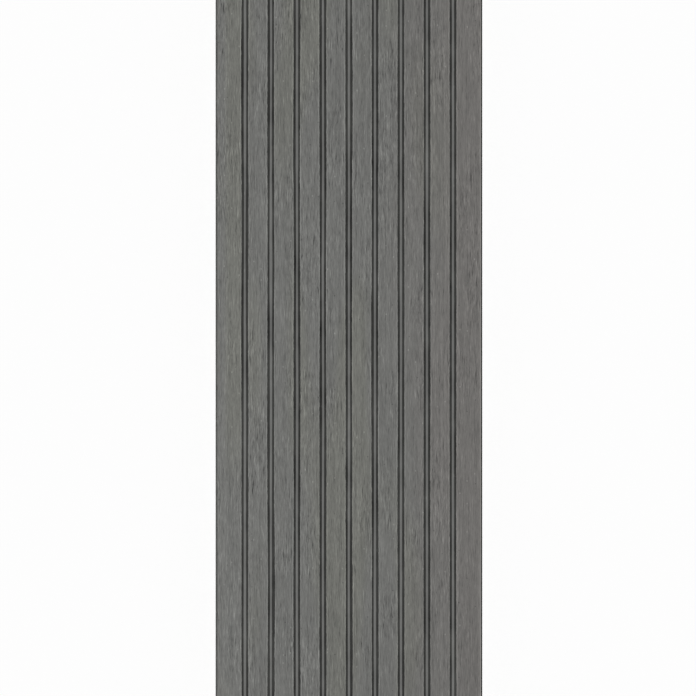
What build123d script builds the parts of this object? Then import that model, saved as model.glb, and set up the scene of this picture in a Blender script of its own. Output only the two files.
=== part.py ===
"""Composite deck board: one length of hollow wood-plastic decking, extruded and sawn square.

The board is a single extruded piece. Its walking face carries wide tapered grooves between
brushed ribs, its underside is finely fluted, a fixing slot runs along each long edge at half
the thickness, and a row of round-cornered chambers hollows its core from end to end.

Frame: the board lies flat with its walking face up. X runs across the width, Y along the
length and Z up. The origin is the centre of the underside. All sizes are in millimetres.
"""

from build123d import *
import os

# The board as sold
board_width = 145.0
board_thickness = 21.0
board_length = 2400.0
long_edge_radius = 1.2

# Walking face: grooves with sloping walls, and a wider rib along each long edge
groove_count = 9
groove_mouth_width = 3.6
groove_floor_width = 1.5
groove_depth = 2.5
groove_arris_radius = 0.3
groove_corner_radius = 0.35
edge_rib_width = 14.1

# Underside: shallow round-bottomed flutes with flat lands between them
flute_count = 26
flute_width = 2.4
flute_depth = 0.8
flute_to_edge = 7.5

# Fixing slots: one along each long edge, for the tongue of a hidden clip
slot_depth = 9.0
slot_height = 5.0
slot_corner_radius = 1.2
slot_mouth_radius = 0.8

# Core: equal chambers between upright webs
chamber_count = 6
chamber_corner_radius = 3.5
web_thickness = 4.0
wall_behind_slot = 4.0
wall_under_groove = 2.8
wall_over_flute = 3.2

half_width = board_width / 2
tolerance = 0.001


def spread(count, first_to_last):
    """Locations of a row of equal features, centred across the width."""
    return GridLocations(first_to_last / max(count - 1, 1), 1, count, 1)


def groove_cutter():
    """Section of one groove: a taper with rounded corners at its floor, its mouth at height 0."""
    half_mouth = groove_mouth_width / 2
    half_floor = groove_floor_width / 2
    taper = Polygon(
        (-half_mouth, 0),
        (-half_floor, -groove_depth),
        (half_floor, -groove_depth),
        (half_mouth, 0),
        align=None,
    )
    floor_corners = taper.vertices().group_by(Axis.Y)[0]
    return fillet(floor_corners, groove_corner_radius)


def flute_cutter():
    """Section of one flute: a circle that dips flute_depth into the underside at height 0."""
    radius = (flute_width**2 / 4 + flute_depth**2) / (2 * flute_depth)
    return Pos(0, flute_depth - radius) * Circle(radius)


def slot_cutter():
    """Section of the slot in the +X edge, with rounded inner corners, its mouth at 0."""
    slot = Rectangle(slot_depth, slot_height, align=(Align.MAX, Align.CENTER))
    inner_corners = slot.vertices().group_by(Axis.X)[0]
    return fillet(inner_corners, slot_corner_radius)


def solid_outline():
    """Outer section: a rectangle cut by the grooves, the flutes and both fixing slots."""
    outline = Rectangle(board_width, board_thickness, align=(Align.CENTER, Align.MIN))

    groove_span = board_width - 2 * edge_rib_width - groove_mouth_width
    outline -= Pos(0, board_thickness) * spread(groove_count, groove_span) * groove_cutter()

    flute_span = board_width - 2 * flute_to_edge
    outline -= spread(flute_count, flute_span) * flute_cutter()

    right_slot = Pos(half_width, board_thickness / 2) * slot_cutter()
    return outline - right_slot - mirror(right_slot, about=Plane.YZ)


def at_height(height):
    """Test for the corners of a section that lie at one height."""
    return lambda corner: abs(corner.Y - height) < tolerance


def on_long_edge(corner):
    """Whether a corner of a section lies on one of the board's long edges."""
    return abs(abs(corner.X) - half_width) < tolerance


def rounded_outline():
    """Outer section with its long edges, groove arrises and slot mouths rounded."""
    outline = solid_outline()

    edge_corners = outline.vertices().filter_by(on_long_edge)
    outer_corners = edge_corners.filter_by(at_height(0)) + edge_corners.filter_by(at_height(board_thickness))
    outline = fillet(outer_corners, long_edge_radius)

    face_corners = outline.vertices().filter_by(at_height(board_thickness))
    arrises = face_corners.filter_by(lambda corner: abs(corner.X) < half_width - edge_rib_width / 2)
    outline = fillet(arrises, groove_arris_radius)

    mouth_heights = ((board_thickness - slot_height) / 2, (board_thickness + slot_height) / 2)
    edge_corners = outline.vertices().filter_by(on_long_edge)
    mouths = edge_corners.filter_by(at_height(mouth_heights[0])) + edge_corners.filter_by(
        at_height(mouth_heights[1])
    )
    return fillet(mouths, slot_mouth_radius)


def chambers():
    """Sections of the chambers, evenly spaced between the walls behind the two slots."""
    core_width = board_width - 2 * (slot_depth + wall_behind_slot)
    chamber_width = (core_width - (chamber_count - 1) * web_thickness) / chamber_count
    floor_height = flute_depth + wall_over_flute
    roof_height = board_thickness - groove_depth - wall_under_groove
    chamber = RectangleRounded(
        chamber_width,
        roof_height - floor_height,
        chamber_corner_radius,
        align=(Align.CENTER, Align.MIN),
    )
    centre_to_centre = core_width - chamber_width
    return Pos(0, floor_height) * spread(chamber_count, centre_to_centre) * chamber


def deck_board():
    """The whole board: its section drawn across the width and extruded along the length."""
    section = rounded_outline() - chambers()
    return extrude(Plane.XZ * section, amount=board_length / 2, both=True)


os.makedirs("parts", exist_ok=True)
board = deck_board()
board.label = "deck_board"
export_step(board, "parts/deck_board.step")
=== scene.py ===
"""Composite deck board: the finished board round its CAD frame, and the stage it is seen on.

The board is one extruded piece, so its shape follows one rule. Its section is drawn from the sizes
in BoardSection, and a Geometry Nodes tree carries each stretch of that section along the length.
The walking face gets close rows of points, because the same tree lets the groove edges wander and
brushes the ribs. The rest runs straight from end to end. Two flat lips and the sawn ends close it.

X runs across the width, Y along the length and Z up. Lengths are in metres.
"""

import math
from typing import NamedTuple

import bmesh
import bpy
import numpy as np
from bpy.props import FloatProperty, FloatVectorProperty, IntProperty, PointerProperty
from bpy.types import Operator, Panel, PropertyGroup
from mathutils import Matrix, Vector


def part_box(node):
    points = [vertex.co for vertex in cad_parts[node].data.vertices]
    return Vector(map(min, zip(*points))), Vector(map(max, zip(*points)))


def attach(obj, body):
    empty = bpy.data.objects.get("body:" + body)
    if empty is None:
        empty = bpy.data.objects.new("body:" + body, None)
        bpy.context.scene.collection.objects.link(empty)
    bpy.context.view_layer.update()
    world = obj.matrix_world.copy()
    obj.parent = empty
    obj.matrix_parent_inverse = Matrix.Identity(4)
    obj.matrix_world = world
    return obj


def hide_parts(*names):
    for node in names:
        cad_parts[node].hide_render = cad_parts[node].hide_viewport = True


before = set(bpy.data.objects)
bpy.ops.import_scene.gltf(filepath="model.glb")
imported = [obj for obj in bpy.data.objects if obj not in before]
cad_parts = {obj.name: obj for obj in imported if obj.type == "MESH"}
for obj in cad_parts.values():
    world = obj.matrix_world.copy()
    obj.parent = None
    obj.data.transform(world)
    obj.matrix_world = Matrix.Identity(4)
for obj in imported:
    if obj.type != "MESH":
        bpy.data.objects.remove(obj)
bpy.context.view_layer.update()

bl_info = {
    "name": "Composite deck board",
    "version": (1, 0, 0),
    "blender": (4, 5, 0),
    "location": "3D View > Sidebar > Deck board",
    "description": "Makes a grooved, brushed composite deck board and the stage it is seen on",
    "category": "Add Mesh",
}

MM = 0.001
CAD_NODE = "deck_board"
BODY = "root"
PIECE = "deck_board_finish"

cad_low, cad_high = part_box(CAD_NODE)
cad_size = cad_high - cad_low


def length(name, millimetres, description):
    """A property that holds a length, given here in millimetres."""
    return FloatProperty(
        name=name, description=description, default=millimetres * MM, min=0.0, precision=5, unit="LENGTH"
    )


def amount(name, default, description):
    """A property that holds a plain number from 0 up."""
    return FloatProperty(name=name, description=description, default=default, min=0.0, precision=3)


def count(name, default, description):
    """A property that holds a whole number."""
    return IntProperty(name=name, description=description, default=default, min=1)


def colour(name, default, description):
    """A property that holds a linear colour."""
    return FloatVectorProperty(
        name=name, description=description, default=default, min=0.0, max=1.0, size=3, subtype="COLOR"
    )


class BoardSection(PropertyGroup):
    """Sizes of the board's section, as the board is made."""

    width: length("Width", cad_size.x / MM, "Overall width of the board")
    thickness: length("Thickness", cad_size.z / MM, "Overall thickness of the board")
    length: length("Length", cad_size.y / MM, "Length that the board is sawn to")
    edge_radius: length("Long edge radius", 1.2, "Rounding of the four long edges")
    groove_count: count("Grooves", 9, "Grooves in the walking face")
    groove_mouth: length("Groove mouth", 3.6, "Width of a groove at the walking face")
    groove_floor: length("Groove floor", 1.5, "Width of a groove at its floor")
    groove_depth: length("Groove depth", 2.5, "Depth of a groove")
    arris_radius: length("Arris radius", 0.3, "Rounding of the edges of a groove")
    groove_corner: length("Groove corner radius", 0.35, "Rounding of the corners of a groove floor")
    edge_rib: length("Edge rib", 14.1, "Width of the rib along each long edge")
    flute_count: count("Flutes", 26, "Flutes in the underside")
    flute_width: length("Flute width", 2.4, "Width of a flute at the underside")
    flute_depth: length("Flute depth", 0.8, "Depth of a flute")
    flute_to_edge: length("Flute to edge", 7.5, "From a long edge to the middle of its nearest flute")
    slot_depth: length("Slot depth", 9.0, "Depth of the fixing slot in each long edge")
    slot_height: length("Slot height", 5.0, "Height of the fixing slot")
    slot_corner: length("Slot corner radius", 1.2, "Rounding of the slot's inner corners")
    slot_mouth: length("Slot mouth radius", 0.8, "Rounding of the slot's mouth")
    chamber_count: count("Chambers", 6, "Chambers through the core")
    chamber_corner: length("Chamber corner radius", 3.5, "Rounding of a chamber's corners")
    web: length("Web", 4.0, "Thickness of the webs between the chambers")
    wall_behind_slot: length("Wall behind slot", 4.0, "Wall between a slot and its chamber")
    wall_under_groove: length("Wall under groove", 2.8, "Wall between a groove floor and a chamber")
    wall_over_flute: length("Wall over flute", 3.2, "Wall between a flute and a chamber")


class BoardWear(PropertyGroup):
    """How the walking face departs from a perfect extrusion."""

    row_length: length("Row length", 4.2, "Spacing of the rows of points along the walking face")
    wander: length("Edge wander", 0.32, "How far a groove edge wanders, over a few centimetres")
    wander_length: length("Wander length", 70.0, "Length over which a groove edge wanders")
    nibble: length("Edge nibbles", 0.24, "How far small nibbles eat into a groove edge")
    nibble_length: length("Nibble length", 7.0, "Length of a nibble")
    rougher_left: amount("Rougher left", 0.8, "How much rougher the groove edges on the left side are")
    brushing: length("Brushing depth", 0.05, "Depth of the hollows that brushing leaves in a rib")
    seed: count("Seed", 4, "Which board of many this one is")


class BoardFinish(PropertyGroup):
    """Colours and contrast of the composite, and the strengths of the painted shade on it."""

    rib: colour("Brushed rib", (0.1325, 0.1335, 0.1272), "Colour of the brushed ribs")
    rib_olive: colour("Olive tint", (0.1350, 0.1362, 0.1232), "Tint of the greener stretches of the ribs")
    rib_brown: colour("Brown tint", (0.1355, 0.1302, 0.1238), "Tint of the browner side of the board")
    skin: colour("Extruded skin", (0.117, 0.118, 0.112), "Colour of the skin that the die leaves")
    sawn: colour("Sawn end", (0.190, 0.185, 0.172), "Colour of the sawn ends")
    streaks: amount("Streaks", 0.26, "Contrast of the fine brushed streaks")
    strokes: amount("Strokes", 1.68, "Contrast of the sparse darker and paler brush strokes")
    lines: amount("Long lines", 0.14, "Contrast of the broad streaks and of the lines along a rib")
    drift: amount("Drift", 0.12, "Contrast of the slow drift in tone")
    # painted shade: how much the board darkens towards the right, as less light falling there would make it
    fade: amount("Fade", 0.03, "How much darker than its middle the right side of the board is")
    worn: amount("Worn edges", 0.90, "How much paler the worn groove edges are")
    # painted shade: how much darker the groove walls are painted, for the shade that falls in the grooves
    painted_wall_shade: amount("Groove walls", 0.62, "How much darker the walls of the grooves are")
    # painted shade: how much darker the turn over each long edge is painted, where the rounding drops away
    # from the light
    turn: amount("Edge turn", 0.95, "How much darker the unbrushed turn over a long edge is")
    fibres: amount("Fibres", 0.55, "How much paler the bare wood fibres are")
    specks: amount("Specks", 0.40, "How much darker the small pits are")


class StageSettings(PropertyGroup):
    """The camera's place over the board, and the studio's light."""

    camera_height: length("Camera height", 3000.0, "Height of the camera over the walking face")
    sun_share: amount("Light from above", 0.90, "Share of the light that comes from straight above")
    sun_spread: FloatProperty(
        name="Spread of the light",
        description="Angle over which the light from above spreads",
        default=math.radians(5.0),
        subtype="ANGLE",
    )
    light: amount("Light level", 1.0, "Level at which a white surface renders white at 1")
    floor: colour("Floor", (0.985, 0.985, 0.985), "Colour of the floor")
    floor_size: length("Floor size", 80000.0, "Side of the square floor")


class Wire:
    """A number that flows between nodes. Arithmetic on wires adds the Math nodes that work it out."""

    def __init__(self, graph, socket):
        self.graph = graph
        self.socket = socket

    def __add__(self, other):
        return self.graph.math("ADD", self, other)

    def __sub__(self, other):
        return self.graph.math("SUBTRACT", self, other)

    def __rsub__(self, other):
        return self.graph.math("SUBTRACT", other, self)

    def __mul__(self, other):
        return self.graph.math("MULTIPLY", self, other)

    def __truediv__(self, other):
        return self.graph.math("DIVIDE", self, other)

    __radd__ = __add__
    __rmul__ = __mul__


class Graph:
    """A node tree being built, for materials, the world and Geometry Nodes alike."""

    def __init__(self, tree):
        self.tree = tree

    def node(self, kind, settings, inputs):
        """Adds a node: its settings first, then its sockets by name. Returns its outputs by name."""
        node = self.tree.nodes.new(kind)
        for name, value in settings.items():
            setattr(node, name, value)
        for name, value in inputs.items():
            socket = next(s for s in node.inputs if s.name == name and not s.is_unavailable)
            self.feed(socket, value)
        return {s.name: Wire(self, s) for s in node.outputs if not s.is_unavailable}

    def feed(self, socket, value):
        """Links a wire to a socket, or sets the socket to a plain value."""
        if isinstance(value, Wire):
            self.tree.links.new(value.socket, socket)
        else:
            socket.default_value = value

    def math(self, operation, *values):
        """A Math node on wires and numbers."""
        node = self.tree.nodes.new("ShaderNodeMath")
        node.operation = operation
        for socket, value in zip(node.inputs, values):
            self.feed(socket, value)
        return Wire(self, node.outputs[0])

    def vector(self, x, y, z):
        """A vector from three wires or numbers."""
        return self.node("ShaderNodeCombineXYZ", {}, {"X": x, "Y": y, "Z": z})["Vector"]

    def parts(self, vector):
        """The three wires of a vector."""
        parts = self.node("ShaderNodeSeparateXYZ", {}, {"Vector": vector})
        return parts["X"], parts["Y"], parts["Z"]

    def noise(self, place, detail=0.0):
        """Smooth noise at a place, between about -1 and 1, with no lean to either side."""
        settings = {"noise_dimensions": "3D", "normalize": True}
        inputs = {"Vector": place, "Scale": 1.0, "Detail": detail, "Roughness": 0.5}
        return self.node("ShaderNodeTexNoise", settings, inputs)["Fac"] * 2.0 - 1.0

    def ramp(self, value, low, high):
        """0 up to low, 1 from high, and a smooth step between. With low over high it falls."""
        settings = {"interpolation_type": "SMOOTHSTEP", "clamp": True}
        bounds = {"From Min": low, "From Max": high, "To Min": 0.0, "To Max": 1.0}
        return self.node("ShaderNodeMapRange", settings, {"Value": value, **bounds})["Result"]

    def blend(self, share, first, second):
        """A colour between two colours."""
        settings = {"data_type": "RGBA", "blend_type": "MIX"}
        return self.node("ShaderNodeMix", settings, {"Factor": share, "A": first, "B": second})["Result"]

    def shade(self, colour, tone):
        """A colour made lighter or darker by a tone."""
        inputs = {"Vector": colour, "Scale": tone}
        return self.node("ShaderNodeVectorMath", {"operation": "SCALE"}, inputs)["Vector"]


class Point(NamedTuple):
    """A point of the section, and what sets it apart on the finished surface."""

    x: float
    z: float
    give: float = 0.0  # share of the edge wander that moves it, with the sign of its outward side
    edge: float = 0.0  # number of the groove edge that it moves with
    in_groove: bool = False
    on_arris: bool = False


FACET = 15.0
GROOVE_FACET = 35.0
ROUNDING_ERROR = 1e-6
ARRIS_REACH = 0.75  # steps from the middle of an arc, which take in its one or two middle points


class Corner(NamedTuple):
    """A corner of the section, and the arc that rounds it in facets of so many degrees at most."""

    point: Point
    radius: float = 0.0
    facet: float = FACET


def arc_steps(turn, facet):
    """Facets that an arc needs for none of them to turn by more than facet, in degrees."""
    return max(1, math.ceil(math.degrees(turn) / facet - ROUNDING_ERROR))


def rounded(before, corner, after):
    """Points of the arc that rounds a corner of the section, marked as the corner is."""
    here = Vector((corner.point.x, corner.point.z))
    back = (Vector((before.point.x, before.point.z)) - here).normalized()
    ahead = (Vector((after.point.x, after.point.z)) - here).normalized()
    half_angle = back.angle(ahead) / 2
    centre = here + (back + ahead).normalized() * corner.radius / math.sin(half_angle)
    reach = corner.radius / math.tan(half_angle)
    first = (here + back * reach - centre).normalized()
    last = (here + ahead * reach - centre).normalized()
    steps = arc_steps(math.pi - 2 * half_angle, corner.facet)
    middle = steps / 2
    points = []
    for step in range(steps + 1):
        place = centre + first.slerp(last, step / steps) * corner.radius
        on_arris = corner.point.on_arris and abs(step - middle) < ARRIS_REACH
        points.append(corner.point._replace(x=place.x, z=place.y, on_arris=on_arris))
    return points


def outline(corners):
    """Points between the first and the last corner, which only give the outline its direction."""
    points = []
    for before, corner, after in zip(corners, corners[1:], corners[2:]):
        if corner.radius > 0:
            points += rounded(before, corner, after)
        else:
            points.append(corner.point)
    return points


def spread(number, first_to_last):
    """Middles of a row of equal features, centred on 0."""
    pitch = first_to_last / max(number - 1, 1)
    return [(i - (number - 1) / 2) * pitch for i in range(number)]


FLOOR_GIVE = 0.5
EDGE_NUMBERS = 4  # from the edge numbers of one groove to those of the next


def groove_corners(section, centre, number):
    """Corners of one groove from left to right, with the middle of its floor. side is 1 on the right."""
    half_mouth = section.groove_mouth / 2
    half_floor = section.groove_floor / 2
    top = section.thickness
    floor = top - section.groove_depth
    middle_number = EDGE_NUMBERS * number

    def arris(side):
        point = Point(centre + side * half_mouth, top, side, middle_number + side, on_arris=True)
        return Corner(point, section.arris_radius, GROOVE_FACET)

    def foot(side):
        place = centre + side * half_floor
        point = Point(place, floor, side * FLOOR_GIVE, middle_number + 2 * side, in_groove=True)
        return Corner(point, section.groove_corner, GROOVE_FACET)

    return [arris(-1), foot(-1), Corner(Point(centre, floor, in_groove=True)), foot(1), arris(1)]


def rib_points(section, left, right):
    """Points that divide the flat of a rib into equal parts, so that brushing can hollow it."""
    parts = 4
    width = right - left
    return [Corner(Point(left + width * i / parts, section.thickness)) for i in range(1, parts)]


def walking_face(section):
    """Points of the walking face, from the top of the left lip to the top of the right one."""
    top = section.thickness
    half_width = section.width / 2
    half_mouth = section.groove_mouth / 2
    span = section.width - 2 * section.edge_rib - section.groove_mouth
    corners = [
        Corner(Point(-half_width, top / 2)),
        Corner(Point(-half_width, top), section.edge_radius),
    ]
    rib_start = -half_width + section.edge_radius
    for number, centre in enumerate(spread(section.groove_count, span)):
        corners += rib_points(section, rib_start, centre - half_mouth)
        corners += groove_corners(section, centre, number)
        rib_start = centre + half_mouth
    corners += rib_points(section, rib_start, half_width - section.edge_radius)
    corners += [
        Corner(Point(half_width, top), section.edge_radius),
        Corner(Point(half_width, top / 2)),
    ]
    return outline(corners)


def slot_corners(section, side):
    """Corners of a fixing slot, from its upper to its lower mouth. side is 1 on the right."""
    mouth = side * section.width / 2
    back = mouth - side * section.slot_depth
    upper = (section.thickness + section.slot_height) / 2
    lower = (section.thickness - section.slot_height) / 2
    return [
        Corner(Point(mouth, upper), section.slot_mouth),
        Corner(Point(back, upper), section.slot_corner),
        Corner(Point(back, lower), section.slot_corner),
        Corner(Point(mouth, lower), section.slot_mouth),
    ]


def flute_points(section, centre):
    """Points of one flute from right to left: an arc that dips into the underside."""
    half = section.flute_width / 2
    radius = (half**2 + section.flute_depth**2) / (2 * section.flute_depth)
    start = math.asin((radius - section.flute_depth) / radius)
    sweep = math.pi - 2 * start
    steps = arc_steps(sweep, FACET)
    middle = section.flute_depth - radius
    angles = [start + sweep * step / steps for step in range(steps + 1)]
    places = [(centre + radius * math.cos(a), middle + radius * math.sin(a)) for a in angles]
    return [Corner(Point(x, max(z, 0.0))) for x, z in places]


def casing(section):
    """Points of the slots and the underside, from the foot of the right lip to that of the left."""
    half_width = section.width / 2
    corners = [Corner(Point(half_width, section.thickness))]
    corners += slot_corners(section, 1)
    corners.append(Corner(Point(half_width, 0.0), section.edge_radius))
    for centre in reversed(spread(section.flute_count, section.width - 2 * section.flute_to_edge)):
        corners += flute_points(section, centre)
    corners.append(Corner(Point(-half_width, 0.0), section.edge_radius))
    corners += reversed(slot_corners(section, -1))
    corners.append(Corner(Point(-half_width, section.thickness)))
    return outline(corners)


def chambers(section):
    """Points of each chamber, as closed loops with the void on their left."""
    core = section.width - 2 * (section.slot_depth + section.wall_behind_slot)
    width = (core - (section.chamber_count - 1) * section.web) / section.chamber_count
    low = section.flute_depth + section.wall_over_flute
    high = section.thickness - section.groove_depth - section.wall_under_groove
    loops = []
    for centre in spread(section.chamber_count, core - width):
        left, right = centre - width / 2, centre + width / 2
        places = [(left, low), (right, low), (right, high), (left, high)]
        corners = [Corner(Point(x, z), section.chamber_corner) for x, z in places]
        points = outline([corners[-1], *corners, corners[0]])
        loops.append([*points, points[0]])
    return loops


def along_section(points):
    """How far each point lies along its stretch of the section."""
    places = np.array([(p.x, p.z) for p in points])
    steps = np.hypot(*np.diff(places, axis=0).T)
    return np.concatenate([[0.0], np.cumsum(steps)])


def from_edge(points, around):
    """Distance of each point from its nearest groove edge: over 0 on a rib, under 0 in a groove."""
    edges = np.array([a for a, p in zip(around, points) if p.on_arris])
    if not len(edges):
        return np.ones(len(points))
    distance = np.abs(around[:, None] - edges[None, :]).min(axis=1)
    inside = np.array([p.in_groove for p in points])
    return np.where(inside, -distance, distance)


MARKS = ("around", "from_edge", "give", "edge")


def section_mesh(name, points):
    """A mesh of loose points, one for each point of the section, that holds their marks."""
    mesh = bpy.data.meshes.new(name)
    mesh.from_pydata([(p.x, 0.0, p.z) for p in points], [], [])
    around = along_section(points)
    values = {
        "around": around,
        "from_edge": from_edge(points, around),
        "give": [p.give for p in points],
        "edge": [p.edge for p in points],
    }
    for mark in MARKS:
        attribute = mesh.attributes.new(mark, "FLOAT", "POINT")
        attribute.data.foreach_set("value", np.asarray(values[mark], np.float32))
    return mesh


EXTRUSION_INPUTS = (
    ("Length", "NodeSocketFloat", "Length of the board"),
    ("Rows", "NodeSocketInt", "Rows of points along the length"),
    ("Edge wander", "NodeSocketFloat", "How far a groove edge wanders"),
    ("Wander length", "NodeSocketFloat", "Length over which it wanders"),
    ("Nibbles", "NodeSocketFloat", "How far nibbles eat into a groove edge"),
    ("Nibble length", "NodeSocketFloat", "Length of a nibble"),
    ("Rougher left", "NodeSocketFloat", "How much rougher the groove edges on the left side are"),
    ("Brushing depth", "NodeSocketFloat", "Depth of the hollows in a rib"),
    ("Seed", "NodeSocketInt", "Which board of many this one is"),
    ("Material", "NodeSocketMaterial", "Finish of this stretch"),
)


SEED_OFFSET = 0.5  # puts every seed between two whole numbers
WANDER_STEP, NIBBLE_STEP, UNEVEN_STEP = 3.7, 5.3, 1.7  # in the noise, from one edge number to the next
NIBBLE_SEED, UNEVEN_SEED, HOLLOW_SEED = 40.0, 60.0, 80.0
UNEVEN_LENGTHS = 6.0  # wander lengths over which the edges grow more or less worn
UNEVENNESS = 1.5
NIBBLE_START = 0.1  # level of the noise over which there is a nibble
HOLLOW_WIDTH, HOLLOW_LENGTH = 5.0 * MM, 70.0 * MM
HOLLOW_FROM_EDGE = (0.5 * MM, 2.0 * MM)  # distances between which the hollows set in
HOLLOW_FROM_SIDE = (2.0 * MM, 4.0 * MM)


def edge_relief(g, inputs, give, edge, x, y):
    """Sideways offset of a groove edge: a slow wander, and nibbles that only widen the groove."""
    seed = inputs["Seed"] + SEED_OFFSET
    wander_length = inputs["Wander length"]
    slow = g.noise(g.vector(y / wander_length, edge * WANDER_STEP, seed))
    quick = g.noise(g.vector(y / inputs["Nibble length"], edge * NIBBLE_STEP, seed + NIBBLE_SEED), 1.0)
    uneven = g.noise(g.vector(y / (wander_length * UNEVEN_LENGTHS), edge * UNEVEN_STEP, seed + UNEVEN_SEED))
    wander = g.math("ABSOLUTE", give) * inputs["Edge wander"] * slow
    nibbles = give * inputs["Nibbles"] * g.math("MAXIMUM", quick - NIBBLE_START, 0.0)
    rougher = 1 - x * (inputs["Rougher left"] / cad_high.x)
    return (wander + nibbles) * (uneven * UNEVENNESS + 1.0) * rougher


def brushed_hollows(g, inputs, rib, x, y):
    """Depth of the shallow hollows that brushing leaves along a rib."""
    seed = inputs["Seed"] + (HOLLOW_SEED + SEED_OFFSET)
    hollows = g.noise(g.vector(x / HOLLOW_WIDTH, y / HOLLOW_LENGTH, seed))
    return (hollows * 0.5 + 0.5) * inputs["Brushing depth"] * rib


def worn_place(g, inputs, marks, x, y, z):
    """Where a point of the section lies at this row, with its edge worn and its rib brushed."""
    sideways = edge_relief(g, inputs, marks["give"], marks["edge"], x, y)
    rib = g.ramp(marks["from_edge"], *HOLLOW_FROM_EDGE)
    first, full = HOLLOW_FROM_SIDE
    flat = g.ramp(g.math("ABSOLUTE", x), cad_high.x - first, cad_high.x - full)
    down = brushed_hollows(g, inputs, rib * flat, x, y)
    return g.vector(x + sideways, y, z - down)


def section_grid(g, inputs):
    """A grid with a column for each point of the section, and what reads the section at a column."""
    section = inputs["Section"]
    columns = g.node("GeometryNodeAttributeDomainSize", {}, {"Geometry": section})["Point Count"]
    sizes = {"Size X": 1.0, "Size Y": inputs["Length"], "Vertices X": columns, "Vertices Y": inputs["Rows"]}
    grid = g.node("GeometryNodeMeshGrid", {}, sizes)["Mesh"]
    index = g.node("GeometryNodeInputIndex", {}, {})["Index"]
    column = g.math("FLOOR", (index + 0.5) / inputs["Rows"])

    def from_section(kind, value):
        """What the section holds at this column."""
        wanted = {"Geometry": section, "Value": value, "Index": column}
        return g.node("GeometryNodeSampleIndex", {"data_type": kind}, wanted)["Value"]

    return grid, from_section


def with_marks(g, stretch, from_section):
    """The stretch with the section's marks stored on it, and the marks by name."""
    marks = {}
    for mark in MARKS:
        named = g.node("GeometryNodeInputNamedAttribute", {"data_type": "FLOAT"}, {"Name": mark})
        marks[mark] = from_section("FLOAT", named["Attribute"])
        stored = {"Geometry": stretch, "Name": mark, "Value": marks[mark]}
        stretch = g.node("GeometryNodeStoreNamedAttribute", {"data_type": "FLOAT"}, stored)["Geometry"]
    return stretch, marks


def extrusion_tree():
    """Geometry Nodes that carry a stretch of the section along the board and wear its edges."""
    tree = bpy.data.node_groups.new("Extruded stretch", "GeometryNodeTree")
    tree.interface.new_socket("Section", in_out="INPUT", socket_type="NodeSocketGeometry")
    for name, kind, description in EXTRUSION_INPUTS:
        tree.interface.new_socket(name, in_out="INPUT", socket_type=kind, description=description)
    tree.interface.new_socket("Stretch", in_out="OUTPUT", socket_type="NodeSocketGeometry")
    g = Graph(tree)
    inputs = g.node("NodeGroupInput", {}, {})
    grid, from_section = section_grid(g, inputs)
    place = g.node("GeometryNodeInputPosition", {}, {})["Position"]
    x, _, z = g.parts(from_section("FLOAT_VECTOR", place))
    _, y, _ = g.parts(place)
    stretch, marks = with_marks(g, grid, from_section)
    worn = {"Geometry": stretch, "Position": worn_place(g, inputs, marks, x, y, z)}
    stretch = g.node("GeometryNodeSetPosition", {}, worn)["Geometry"]
    stretch = g.node("GeometryNodeRealizeInstances", {}, {"Geometry": stretch})["Geometry"]
    finished = {"Geometry": stretch, "Material": inputs["Material"]}
    stretch = g.node("GeometryNodeSetMaterial", {}, finished)["Geometry"]
    g.node("NodeGroupOutput", {}, {"Stretch": stretch})
    return tree


def extruded(tree, name, points, material, settings):
    """A plain mesh of one stretch of the section, carried along the board by the tree."""
    holder = bpy.data.objects.new(name, section_mesh(name, points))
    bpy.context.scene.collection.objects.link(holder)
    modifier = holder.modifiers.new("Extruded stretch", "NODES")
    modifier.node_group = tree
    values = {"Material": material, **settings}
    for item in tree.interface.items_tree:
        if item.in_out == "INPUT" and item.name in values:
            modifier[item.identifier] = values[item.name]
    evaluated = holder.evaluated_get(bpy.context.evaluated_depsgraph_get())
    mesh = bpy.data.meshes.new_from_object(evaluated)
    section = holder.data
    bpy.data.objects.remove(holder)
    bpy.data.meshes.remove(section)
    return mesh


class Strip(NamedTuple):
    """A rectangle of the baked map, and the stretch of the board that it holds, in metres."""

    u: float
    v: float
    width: float
    height: float
    across: float
    along: float


MAP_NAME = "OFBake"
FOLDS = 2
MARGIN = 0.004


def map_strips(section, face_across, casing_across, chamber_across):
    """Places on the baked map. The walking face is folded in two and gets most of it."""
    fold_width, casing_width, chamber_width, lip_width = 0.42, 0.085, 0.006, 0.006
    end_width, end_height = 0.32, 0.045
    tall = 1.0 - end_height - 3 * MARGIN
    strips, u = {}, MARGIN

    def add(name, width, across, along):
        """Puts the next upright strip to the right of the last one."""
        nonlocal u
        strips[name] = Strip(u, MARGIN, width, tall, across, along)
        u += width + MARGIN

    for fold in range(FOLDS):
        add(f"face_{fold}", fold_width, face_across, section.length / FOLDS)
    add("casing", casing_width, casing_across, section.length)
    for number in range(section.chamber_count):
        add(f"chamber_{number}", chamber_width, chamber_across, section.length)
    for side in ("left", "right"):
        add(f"lip_{side}", lip_width, section.thickness, section.length)
    low = tall + 2 * MARGIN
    for number in range(2):
        start = MARGIN + number * (end_width + MARGIN)
        strips[f"end_{number}"] = Strip(start, low, end_width, end_height, section.width, section.thickness)
    return strips


def on_strip(strip, across, along):
    """A place on the baked map for a place on the board."""
    u = strip.u + strip.width * across / strip.across
    v = strip.v + strip.height * along / strip.along
    return u, v


def values_of(items, name, per_item, kind):
    """What each of a mesh's items holds under a name, as one flat array of so many numbers an item."""
    values = np.empty(len(items) * per_item, kind)
    items.foreach_get(name, values)
    return values


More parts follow.
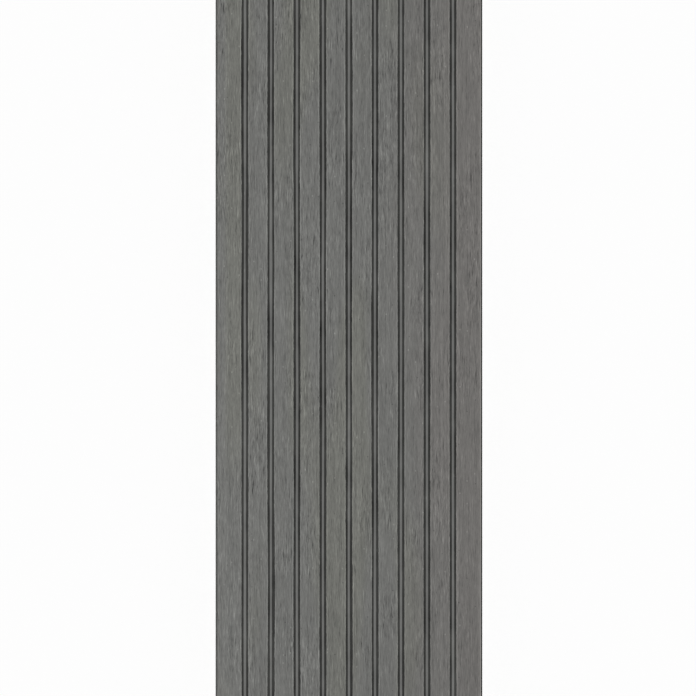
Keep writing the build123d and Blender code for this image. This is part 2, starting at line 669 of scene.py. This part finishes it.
def map_stretch(mesh, strips, board_length):
    """Lays the faces of an extruded stretch out on the baked map, folded into the strips."""
    vertices = values_of(mesh.loops, "vertex_index", 1, np.int64)
    y = values_of(mesh.vertices, "co", 3, float).reshape(-1, 3)[:, 1]
    along = (y + board_length / 2)[vertices]
    across = values_of(mesh.attributes["around"].data, "value", 1, float)[vertices]
    sizes = values_of(mesh.polygons, "loop_total", 1, np.int64)
    starts = np.concatenate([[0], np.cumsum(sizes)[:-1]])
    middles = np.add.reduceat(along, starts) / sizes
    fold_length = board_length / len(strips)
    fold = np.repeat(np.clip(middles // fold_length, 0, len(strips) - 1).astype(int), sizes)
    uv = np.empty((len(along), 2))
    for number, strip in enumerate(strips):
        chosen = fold == number
        u, v = on_strip(strip, across[chosen], along[chosen] - number * fold_length)
        uv[chosen, 0], uv[chosen, 1] = u, v
    layer = mesh.uv_layers.new(name=MAP_NAME)
    layer.uv.foreach_set("vector", uv.astype(np.float32).ravel())


def object_place(g):
    """The place on the board, in millimetres."""
    coordinates = g.node("ShaderNodeTexCoord", {}, {})["Object"]
    x, y, z = g.parts(coordinates)
    return x / MM, y / MM, z / MM


def mesh_mark(g, name):
    """A mark of the mesh, in millimetres."""
    return g.node("ShaderNodeAttribute", {"attribute_name": name}, {})["Fac"] / MM


class Pattern(NamedTuple):
    """Noise stretched to a width and a length, in millimetres. Its seed sets it apart from the others."""

    width: float
    length: float
    seed: float
    detail: float = 0.0


BRUSH_LEAN = Pattern(14.0, 50.0, 11.5)
BRUSH_PRESSURE = Pattern(10.0, 30.0, 558.5)
FINE_STREAKS = Pattern(0.30, 2.3, 1.5, 3.0)
COARSE_STREAKS = Pattern(0.36, 5.7, 31.5)
BROAD_STREAKS = Pattern(2.6, 20.0, 5.5)
LONG_LINES = Pattern(0.9, 400.0, 8.5)
SLOW_DRIFT = Pattern(160.0, 260.0, 133.5, 1.0)
OLIVE_PATCHES = Pattern(18.0, 110.0, 88.5)
BROWN_BORDER = Pattern(24.0, 150.0, 66.5)
DIE_LINES = Pattern(0.6, 300.0, 71.5, 1.0)
SKIN_MOTTLE = Pattern(3.0, 9.0, 77.5, 3.0)
RAGGED_EDGE = Pattern(3.0, 2.2, 95.5, 1.0)
EDGE_WEAR = Pattern(6.0, 16.0, 91.5, 1.0)
WALL_SHADE = Pattern(5.0, 18.0, 98.5, 2.0)
GROOVE_GRIME = Pattern(6.0, 22.0, 103.5, 3.0)
SAW_MARKS = Pattern(0.45, 40.0, 4.5, 2.0)
WOOD_FLOUR = Pattern(0.55, 0.45, 8.5, 4.0)
SPLINTERS = Pattern(1.1, 0.55, 15.5, 2.0)
SAWN_PITS = Pattern(0.7, 0.9, 19.5, 2.0)


def patterned(g, pattern, across, along):
    """Noise in a pattern, at a place across it and along it."""
    return g.noise(g.vector(across / pattern.width, along / pattern.length, pattern.seed), pattern.detail)


class Flecks(NamedTuple):
    """Small sparse marks, each in a cell of its own. Width and length of a cell are in millimetres."""

    width: float
    length: float
    size: float  # reach of a mark, as a share of its cell
    share: float  # share of the cells that hold a mark
    seed: float


FIBRES = Flecks(4.0, 6.0, 0.11, 0.07, 3.0)
PITS = Flecks(4.5, 5.0, 0.10, 0.06, 9.0)
CHIPS = Flecks(6.0, 7.0, 0.12, 0.10, 17.0)
DUST = Flecks(3.0, 9.0, 0.13, 0.10, 13.0)


def fleck_mask(g, flecks, x, y):
    """A mask of the marks: 1 inside them and 0 between."""
    seed_across, seed_along = flecks.seed * 17.3, flecks.seed * 5.1
    place = g.vector(x / flecks.width + seed_across, y / flecks.length + seed_along, 0.0)
    settings = {"feature": "F1", "voronoi_dimensions": "2D"}
    cells = g.node("ShaderNodeTexVoronoi", settings, {"Vector": place, "Scale": 1.0})
    draw, _, _ = g.parts(cells["Color"])
    least, softness = 1 - flecks.share, 0.02
    return g.ramp(cells["Distance"], flecks.size, flecks.size / 2) * g.ramp(draw, least, least + softness)


def sparse(g, noise):
    """Noise that stays near 0 and leaves it only in thin strokes, both ways."""
    return noise * g.math("ABSOLUTE", noise)


# Levels of a pattern's noise between which a patch comes in.
PRESSED_FROM = (-0.3, 0.5)
OLIVE_FROM = (0.0, 0.4)
WEAR_FROM = (-0.3, 0.4)
TORN_FROM = (0.28, 0.55)


def brush_pressure(g, x, y):
    """How hard the brush pressed: harder in patches, and towards the left of the board."""
    least, in_patch, per_mm_leftwards = 0.74, 0.7, 0.0018
    patch = g.ramp(patterned(g, BRUSH_PRESSURE, x, y), *PRESSED_FROM)
    return patch * in_patch + least - x * per_mm_leftwards


def brush_strokes(g, fine, coarse):
    """Sparse strokes of two sizes. The dark ones are fainter than the pale ones."""
    fine_share, coarse_share, dark_share = 0.85, 0.75, 0.76
    strokes = sparse(g, fine) * fine_share + sparse(g, coarse) * coarse_share
    return g.math("MAXIMUM", strokes, strokes * dark_share)


def brushed_tone(g, finish, x, y):
    """Tone of the brushed ribs about 1, and the height of their relief."""
    leaning, brushing_height, broad_height = 1.1, 0.6, 0.3
    lean = x + patterned(g, BRUSH_LEAN, x, y) * leaning
    fine = patterned(g, FINE_STREAKS, lean, y)
    strokes = brush_strokes(g, fine, patterned(g, COARSE_STREAKS, lean, y))
    broad = patterned(g, BROAD_STREAKS, lean, y)
    lines = patterned(g, LONG_LINES, lean, y)
    slow = patterned(g, SLOW_DRIFT, x, y)
    brushing = (fine * finish.streaks + strokes * finish.strokes) * brush_pressure(g, x, y)
    tone = brushing + (broad + lines) * finish.lines + slow * finish.drift + 1.0
    return tone, brushing * brushing_height + broad * broad_height


# Places across and along the board, in millimetres, between which a tint comes in or fades out.
STRAND_LEFT = (-69.0, -65.0)
STRAND_RIGHT = (-56.0, -60.0)
STRAND_START = (-90.0, -30.0)
BROWN_FROM = (10.0, 65.0)
BROWN_WANDER = 20.0  # how far the border of the brown strays from its line


def rib_colour(g, finish, x, y):
    """Colour of the brushed ribs before their tone: browner to the right, and olive elsewhere.

    The olive lies in patches, and in one strand along the rib at the left edge.
    """
    patches = g.ramp(patterned(g, OLIVE_PATCHES, x, y), *OLIVE_FROM)
    strand = g.ramp(x, *STRAND_LEFT) * g.ramp(x, *STRAND_RIGHT) * g.ramp(y, *STRAND_START)
    olive = g.math("MAXIMUM", patches, strand)
    brown = g.ramp(patterned(g, BROWN_BORDER, x, y) * BROWN_WANDER + x, *BROWN_FROM)
    tinted = g.blend(olive, (*finish.rib, 1.0), (*finish.rib_olive, 1.0))
    return g.blend(brown, tinted, (*finish.rib_brown, 1.0))


def skin_tone(g, x, y):
    """Tone of the extruded skin: long faint lines from the die, and a soft mottle."""
    line_contrast, mottle_contrast = 0.12, 0.26
    lines = patterned(g, DIE_LINES, x, y)
    mottle = patterned(g, SKIN_MOTTLE, x, y)
    return lines * line_contrast + mottle * mottle_contrast + 1.0


def new_material(name):
    """An empty material, and the graph that its nodes are built in."""
    material = bpy.data.materials.new(name)
    material.use_nodes = True
    material.node_tree.nodes.clear()
    return material, Graph(material.node_tree)


SPECULAR = 0.25
GROOVE_ROUGHNESS = 0.55
BRUSHED_ROUGHER = 0.17
STREAKS_ROUGHER = 0.08
TURN_ROUGHER = 0.25
SKIN_ROUGHNESS = 0.52
SAWN_ROUGHNESS = 0.85
BRUSHED_RELIEF = 0.12 * MM
SKIN_RELIEF = 0.05 * MM
SAWN_RELIEF = 0.12 * MM


def finish_material(g, base, roughness, height, relief):
    """The composite's shader. height times relief, a length in metres, is its bump."""
    bump = {"Height": height, "Distance": relief, "Strength": 1.0}
    normal = g.node("ShaderNodeBump", {}, bump)["Normal"]
    inputs = {
        "Base Color": base,
        "Roughness": roughness,
        "Specular IOR Level": SPECULAR,
        "Normal": normal,
    }
    surface = g.node("ShaderNodeBsdfPrincipled", {}, inputs)["BSDF"]
    g.node("ShaderNodeOutputMaterial", {}, {"Surface": surface})


RAGGEDNESS = 0.17  # how far the line where brushing starts strays, in millimetres

# Distances from a groove edge, in millimetres, between which a mask rises or falls. They are over 0
# on the rib and under 0 in the groove.
BRUSHED_FROM = (0.07, 0.17)
WORN_UNTIL = (0.60, 0.27)
# The wall masks bound the painted shade on the walls of a groove.
WALL_FROM = (0.17, 0.05)
WALL_UNTIL = (-3.7, -2.4)


def edge_marks(g, edge, x, y):
    """Masks of the brushed rib, the pale line worn along its edge, and the painted shade on the walls of a
    groove.

    The brush reaches the rounding of the edge unevenly, so the masks start at a ragged line.
    """
    ragged = edge + patterned(g, RAGGED_EDGE, x, y) * RAGGEDNESS
    brushed = g.ramp(ragged, *BRUSHED_FROM)
    worn = brushed * g.ramp(ragged, *WORN_UNTIL)
    # painted shade: the mask of the darkened groove walls
    painted_wall_shade = g.ramp(ragged, *WALL_FROM) * g.ramp(edge, *WALL_UNTIL)
    return brushed, worn, painted_wall_shade


# Distances in from a long edge of the board, in millimetres, between which a mask rises or falls.
# The shade masks bound the painted shade on the turn over each long edge.
RIGHT_SHADE_FROM = (0.77, 0.66)
RIGHT_SHADE_UNTIL = (0.04, 0.18)
LEFT_SHADE_FROM = (1.5, 0.4)
RIGHT_LINE_FROM = (1.36, 1.12)
LEFT_LINE_FROM = (2.1, 1.6)

# Strengths of the marks along the long edges.
LEFT_MARKS = 0.55
RIGHT_LINE = 3.2


def near_side(g, outwards, distances):
    """A mask between two distances in from a long edge, towards which outwards grows."""
    first, last = distances
    half_width = cad_high.x / MM
    return g.ramp(outwards, half_width - first, half_width - last)


def side_marks(g, x):
    """Masks of the roundings along the board: the pale line worn on each, and painted shade on its turn.

    The marks on the left side are fainter and softer.
    """
    leftwards = -1 * x
    # painted shade on the turn over each long edge
    right_edge_shade = near_side(g, x, RIGHT_SHADE_FROM) * near_side(g, x, RIGHT_SHADE_UNTIL)
    left_edge_shade = near_side(g, leftwards, LEFT_SHADE_FROM) * LEFT_MARKS
    right_line = near_side(g, x, RIGHT_LINE_FROM) * RIGHT_LINE
    left_line = near_side(g, leftwards, LEFT_LINE_FROM) * LEFT_MARKS
    return right_line + left_line, right_edge_shade + left_edge_shade


def rib_base(g, finish, tone, worn, side_line, painted_edge_shade, x, y):
    """Colour of the ribs: their brushed tone with fibres, pits and worn edges, painted shade that darkens
    them towards the right, and painted shade on the turn at each side.
    """
    least_wear, patch_wear, side_line_tone = 0.45, 0.7, 0.2
    wear = g.ramp(patterned(g, EDGE_WEAR, x, y), *WEAR_FROM) * patch_wear + least_wear
    fibre = fleck_mask(g, FIBRES, x, y)
    pit = fleck_mask(g, PITS, x, y)
    chip = fleck_mask(g, CHIPS, x, y)
    tone = tone + fibre * finish.fibres - pit * finish.specks
    tone = tone + worn * (wear * finish.worn + chip * finish.fibres) + side_line * side_line_tone
    # painted shade: darker towards the right side, and darker still on the turn over each long edge
    tone = (tone - x * (finish.fade * MM / cad_high.x)) * (1 - painted_edge_shade * finish.turn)
    return g.shade(rib_colour(g, finish, x, y), tone)


def groove_base(g, finish, painted_wall_shade, x, y):
    """Colour of the grooves: the skin of the die with dust and grime, and uneven painted shade on the
    walls.
    """
    wall_unevenness, grime_contrast, paler, dust_share = 0.5, 0.36, 0.06, 0.5
    depth = patterned(g, WALL_SHADE, x, y) * wall_unevenness + 1.0
    dust = fleck_mask(g, DUST, x, y) * finish.fibres * dust_share
    grime = patterned(g, GROOVE_GRIME, x, y) * grime_contrast + paler
    # painted shade on the groove walls
    tone = skin_tone(g, x, y) - painted_wall_shade * depth * finish.painted_wall_shade + dust + grime
    return g.shade(tuple(finish.skin), tone)


def walking_material(finish):
    """Brushed ribs with worn edges and painted shade on the turns of the long edges, and grooves left as
    the die made them, with painted shade on their walls.
    """
    material, g = new_material("brushed_walking_face")
    x, y, _ = object_place(g)
    brushed, worn, painted_wall_shade = edge_marks(g, mesh_mark(g, "from_edge"), x, y)
    side_line, painted_edge_shade = side_marks(g, x)
    tone, relief = brushed_tone(g, finish, x, y)
    rib = rib_base(g, finish, tone, worn, side_line, painted_edge_shade, x, y)
    base = g.blend(brushed, groove_base(g, finish, painted_wall_shade, x, y), rib)
    rougher = brushed * (relief * STREAKS_ROUGHER + BRUSHED_ROUGHER) + painted_edge_shade * TURN_ROUGHER
    finish_material(g, base, rougher + GROOVE_ROUGHNESS, relief * brushed, BRUSHED_RELIEF)
    return material


def skin_material(finish):
    """The skin that the die leaves on the long edges, in the slots and chambers and underneath."""
    material, g = new_material("extruded_skin")
    x, y, z = object_place(g)
    rise = 1.7  # carries the pattern on over the faces that stand upright
    tone = skin_tone(g, x + z * rise, y)
    finish_material(g, g.shade(tuple(finish.skin), tone), SKIN_ROUGHNESS, tone, SKIN_RELIEF)
    return material


def sawn_material(finish):
    """A sawn end: curved saw marks over torn wood flour, in grains and splinters of every size."""
    material, g = new_material("sawn_end")
    x, _, z = object_place(g)
    blade_x, blade_z = 60.0, -140.0  # middle of the saw blade, whose arcs the marks follow
    grain_tone, mark_tone, splinter_tone, pit_tone = 0.4, 0.22, 0.4, 0.45
    grain_height, mark_height, pit_depth = 0.6, 0.5, 0.8
    away = g.math("SQRT", (x - blade_x) * (x - blade_x) + (z - blade_z) * (z - blade_z))
    marks = patterned(g, SAW_MARKS, away, x)
    grain = patterned(g, WOOD_FLOUR, x, z)
    splinter = g.ramp(patterned(g, SPLINTERS, x, z), *TORN_FROM)
    pit = g.ramp(patterned(g, SAWN_PITS, x, z), *TORN_FROM)
    tone = grain * grain_tone + marks * mark_tone + splinter * splinter_tone - pit * pit_tone + 1.0
    height = grain * grain_height + marks * mark_height - pit * pit_depth
    finish_material(g, g.shade(tuple(finish.sawn), tone), SAWN_ROUGHNESS, height, SAWN_RELIEF)
    return material


WALKING, SKIN, SAWN = range(3)  # places in the board's list of materials
END_SLACK = 0.01 * MM
MERGED_WITHIN = 0.001 * MM
SHARP_TURN = math.radians(40.0)


def add_stretch(bm, mesh):
    """Adds a stretch to the board's mesh, and returns its vertices."""
    first = len(bm.verts)
    bm.from_mesh(mesh)
    bm.verts.ensure_lookup_table()
    bpy.data.meshes.remove(mesh)
    return list(bm.verts)[first:]


def add_lip(bm, upper, lower, strip, section):
    """Closes a lip with one flat face, between the close rows over it and the two points under it."""
    face = bm.faces.new([*upper, *reversed(lower)])
    face.material_index = SKIN
    layer = bm.loops.layers.uv[MAP_NAME]
    for loop in face.loops:
        place = loop.vert.co
        loop[layer].uv = on_strip(strip, place.z, place.y + section.length / 2)


def add_end(bm, y, strip, section):
    """Closes one sawn end, round the mouths of the chambers."""
    edges = [e for e in bm.edges if e.is_boundary and all(abs(v.co.y - y) < END_SLACK for v in e.verts)]
    outward = (0.0, math.copysign(1.0, y), 0.0)
    made = bmesh.ops.triangle_fill(bm, use_beauty=True, edges=edges, normal=outward)
    layer = bm.loops.layers.uv[MAP_NAME]
    for face in made["geom"]:
        if not isinstance(face, bmesh.types.BMFace):
            continue
        face.material_index = SAWN
        if face.normal.y * y < 0:
            face.normal_flip()
        for loop in face.loops:
            place = loop.vert.co
            loop[layer].uv = on_strip(strip, place.x + section.width / 2, place.z)


def mark_sharp(bm, angle):
    """Shades the board smooth, but for the edges that turn by more than an angle."""
    for face in bm.faces:
        face.smooth = True
    for edge in bm.edges:
        edge.smooth = edge.calc_face_angle(math.pi) < angle


STRAIGHT_ROWS = 2


def stretch_settings(section, wear):
    """Inputs of the tree for a straight stretch, and for the brushed and worn walking face."""
    straight = {"Length": section.length, "Rows": STRAIGHT_ROWS, "Seed": wear.seed}
    straight |= {"Wander length": wear.wander_length, "Nibble length": wear.nibble_length}
    rows = round(section.length / wear.row_length) + 1
    walking = straight | {"Rows": rows, "Edge wander": wear.wander, "Nibbles": wear.nibble}
    walking |= {"Brushing depth": wear.brushing, "Rougher left": wear.rougher_left}
    return straight, walking


def close_board(bm, top, under, rows, strips, section):
    """Closes the board with its lips and its ends. top and under are the points of two stretches."""
    left_top, right_top = top[:rows], top[-rows:]
    right_foot, left_foot = under[:STRAIGHT_ROWS], under[-STRAIGHT_ROWS:]
    add_lip(bm, right_top, right_foot, strips["lip_right"], section)
    add_lip(bm, left_foot, left_top, strips["lip_left"], section)
    bmesh.ops.remove_doubles(bm, verts=bm.verts, dist=MERGED_WITHIN)
    for number, y in enumerate((-section.length / 2, section.length / 2)):
        add_end(bm, y, strips[f"end_{number}"], section)
    open_edges = sum(not e.is_manifold for e in bm.edges)
    if open_edges:
        raise RuntimeError(f"the board has {open_edges} open edges")


def board_mesh(section, wear, materials):
    """The whole board as one closed mesh."""
    face_points, casing_points, chamber_loops = walking_face(section), casing(section), chambers(section)
    lengths = [along_section(points)[-1] for points in (face_points, casing_points, chamber_loops[0])]
    strips = map_strips(section, *lengths)
    straight, walking = stretch_settings(section, wear)
    tree = extrusion_tree()
    bm = bmesh.new()

    def add(name, points, finish, settings, strip_names):
        """Adds a stretch to the board, with its faces on their strips of the map."""
        mesh = extruded(tree, name, points, materials[finish], settings)
        map_stretch(mesh, [strips[strip_name] for strip_name in strip_names], section.length)
        return add_stretch(bm, mesh)

    top = add("walking_face", face_points, WALKING, walking, [f"face_{fold}" for fold in range(FOLDS)])
    under = add("casing", casing_points, SKIN, straight, ["casing"])
    for number, points in enumerate(chamber_loops):
        add("chamber", points, SKIN, straight, [f"chamber_{number}"])
    for face in bm.faces:
        face.material_index = SKIN
    for face in {face for vertex in top for face in vertex.link_faces}:
        face.material_index = WALKING

    close_board(bm, top, under, walking["Rows"], strips, section)
    mark_sharp(bm, SHARP_TURN)
    mesh = bpy.data.meshes.new(PIECE)
    bm.to_mesh(mesh)
    bm.free()
    for material in materials:
        mesh.materials.append(material)
    return mesh


class DECKBOARD_OT_board(Operator):
    """Make the deck board, round the CAD board that it stands for"""

    bl_idname = "deckboard.board"
    bl_label = "Make deck board"

    def execute(self, context):
        scene = context.scene
        finish = scene.board_finish
        materials = [walking_material(finish), skin_material(finish), sawn_material(finish)]
        board = bpy.data.objects.new(PIECE, board_mesh(scene.board_section, scene.board_wear, materials))
        scene.collection.objects.link(board)
        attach(board, BODY)
        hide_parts(CAD_NODE)
        return {"FINISHED"}


FLOOR_GAP = 0.1 * MM
SUN_HEIGHT = 3.0
SIGHT = 100.0  # how far the camera sees, which is past the corners of the floor
WHITE = (1.0, 1.0, 1.0, 1.0)


def floor_material(stage):
    """A plain pale floor without gloss."""
    material, g = new_material("studio_floor")
    diffuse = g.node("ShaderNodeBsdfDiffuse", {}, {"Color": (*stage.floor, 1.0)})["BSDF"]
    g.node("ShaderNodeOutputMaterial", {}, {"Surface": diffuse})
    return material


def add_floor(scene, stage):
    """A floor just under the board."""
    half = stage.floor_size / 2
    places = [(-half, -half), (half, -half), (half, half), (-half, half)]
    mesh = bpy.data.meshes.new("floor")
    mesh.from_pydata([(x, y, -FLOOR_GAP) for x, y in places], [], [range(len(places))])
    mesh.materials.append(floor_material(stage))
    floor = bpy.data.objects.new("floor", mesh)
    scene.collection.objects.link(floor)


def add_world(scene, stage):
    """White where the camera looks past the floor, and a dimmer light from all round."""
    world = bpy.data.worlds.new("studio")
    world.use_nodes = True
    world.node_tree.nodes.clear()
    g = Graph(world.node_tree)
    path = g.node("ShaderNodeLightPath", {}, {})
    seen = path["Is Camera Ray"] + path["Is Glossy Ray"] + path["Is Transmission Ray"]
    seen = g.math("MINIMUM", seen, 1.0)
    around = stage.light * (1 - stage.sun_share)
    strength = seen + (1 - seen) * around
    background = g.node("ShaderNodeBackground", {}, {"Color": WHITE, "Strength": strength})
    g.node("ShaderNodeOutputWorld", {}, {"Surface": background["Background"]})
    scene.world = world


def add_sun(scene, stage):
    """Soft light from straight above, as level over the whole length as in the photo."""
    light = bpy.data.lights.new("light_from_above", "SUN")
    light.energy = math.pi * stage.light * stage.sun_share
    light.angle = stage.sun_spread
    sun = bpy.data.objects.new("light_from_above", light)
    sun.location = (0.0, 0.0, SUN_HEIGHT)
    scene.collection.objects.link(sun)


PHOTO_WIDTH_PX = 696.0
BOARD_LEFT_PX = 215.6
BOARD_RIGHT_PX = 482.3


def add_camera(scene, stage, section):
    """A camera straight over the board, framed as the photo is."""
    pixel = section.width / (BOARD_RIGHT_PX - BOARD_LEFT_PX)
    view_width = PHOTO_WIDTH_PX * pixel
    board_middle = (BOARD_LEFT_PX + BOARD_RIGHT_PX) / 2
    data = bpy.data.cameras.new("camera")
    data.lens = data.sensor_width * stage.camera_height / view_width
    data.clip_end = SIGHT
    camera = bpy.data.objects.new("camera", data)
    to_the_right = (PHOTO_WIDTH_PX / 2 - board_middle) * pixel
    camera.location = (to_the_right, 0.0, section.thickness + stage.camera_height)
    scene.collection.objects.link(camera)
    scene.camera = camera


class DECKBOARD_OT_stage(Operator):
    """Make the floor, the light and the camera"""

    bl_idname = "deckboard.stage"
    bl_label = "Make stage"

    def execute(self, context):
        scene = context.scene
        add_floor(scene, scene.board_stage)
        add_world(scene, scene.board_stage)
        add_sun(scene, scene.board_stage)
        add_camera(scene, scene.board_stage, scene.board_section)
        scene.view_settings.view_transform = "Standard"
        return {"FINISHED"}


class DECKBOARD_PT_panel(Panel):
    """Sizes and colours of the deck board"""

    bl_idname = "DECKBOARD_PT_panel"
    bl_label = "Deck board"
    bl_space_type = "VIEW_3D"
    bl_region_type = "UI"
    bl_category = "Deck board"

    def draw(self, context):
        for name in GROUPS:
            group = getattr(context.scene, name)
            box = self.layout.box()
            for key in group.__annotations__:
                box.prop(group, key)
        self.layout.operator(DECKBOARD_OT_board.bl_idname)
        self.layout.operator(DECKBOARD_OT_stage.bl_idname)


GROUPS = {
    "board_section": BoardSection,
    "board_wear": BoardWear,
    "board_finish": BoardFinish,
    "board_stage": StageSettings,
}
CLASSES = (*GROUPS.values(), DECKBOARD_OT_board, DECKBOARD_OT_stage, DECKBOARD_PT_panel)


def register():
    for kind in CLASSES:
        bpy.utils.register_class(kind)
    for name, kind in GROUPS.items():
        setattr(bpy.types.Scene, name, PointerProperty(type=kind))


def unregister():
    for name in GROUPS:
        delattr(bpy.types.Scene, name)
    for kind in reversed(CLASSES):
        bpy.utils.unregister_class(kind)


def main():
    register()
    bpy.ops.deckboard.board()
    bpy.ops.deckboard.stage()


if __name__ == "__main__":
    main()
